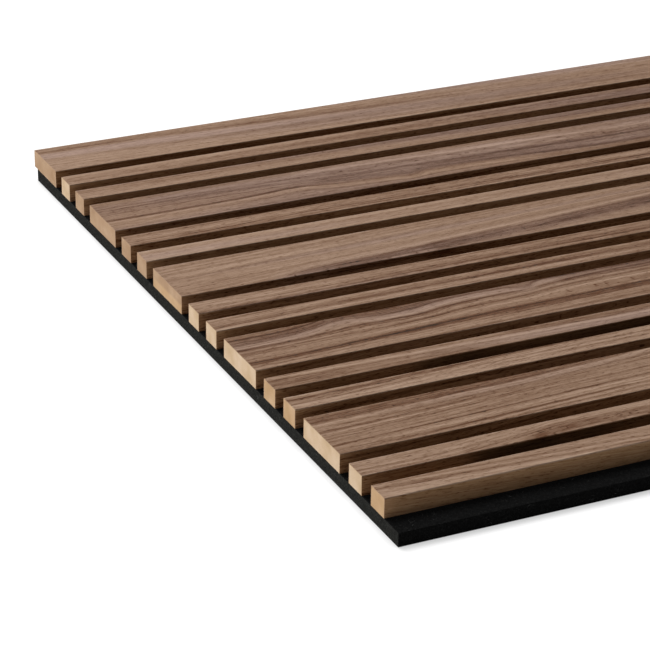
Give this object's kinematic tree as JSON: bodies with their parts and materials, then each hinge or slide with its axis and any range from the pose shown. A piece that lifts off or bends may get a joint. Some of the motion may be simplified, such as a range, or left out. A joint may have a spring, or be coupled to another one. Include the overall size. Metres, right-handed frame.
{
  "type": "acoustic slat wall panel",
  "caption": "Long flat acoustic wall panel: wide and narrow walnut-veneered slats in a repeating rhythm on a black felt board, with lap edges for joining panels.",
  "frame": {"origin": "middle of the panel's outline, on the back of the felt, which goes to the wall", "axes": "+X along the slats, +Y across them towards the overhanging slat, +Z out of the wall face"},
  "size_m": [2.4, 0.6026, 0.022],
  "materials": {
    "walnut_veneer": "matt lacquered walnut veneer",
    "fibreboard": "sawn fibreboard",
    "felt": "black needled felt",
    "staple_steel": "plain staple wire"
  },
  "bodies": {
    "root": {"slat_01_core": "fibreboard", "slat_01_veneer": "walnut_veneer", "slat_02_core": "fibreboard", "slat_02_veneer": "walnut_veneer", "slat_03_core": "fibreboard", "slat_03_veneer": "walnut_veneer", "slat_04_core": "fibreboard", "slat_04_veneer": "walnut_veneer", "slat_05_core": "fibreboard", "slat_05_veneer": "walnut_veneer", "slat_06_core": "fibreboard", "slat_06_veneer": "walnut_veneer", "slat_07_core": "fibreboard", "slat_07_veneer": "walnut_veneer", "slat_08_core": "fibreboard", "slat_08_veneer": "walnut_veneer", "slat_09_core": "fibreboard", "slat_09_veneer": "walnut_veneer", "slat_10_core": "fibreboard", "slat_10_veneer": "walnut_veneer", "slat_11_core": "fibreboard", "slat_11_veneer": "walnut_veneer", "slat_12_core": "fibreboard", "slat_12_veneer": "walnut_veneer", "slat_13_core": "fibreboard", "slat_13_veneer": "walnut_veneer", "slat_14_core": "fibreboard", "slat_14_veneer": "walnut_veneer", "slat_15_core": "fibreboard", "slat_15_veneer": "walnut_veneer", "felt_backing": "felt", "back_staples": "staple_steel"}
  },
  "joints": []
}
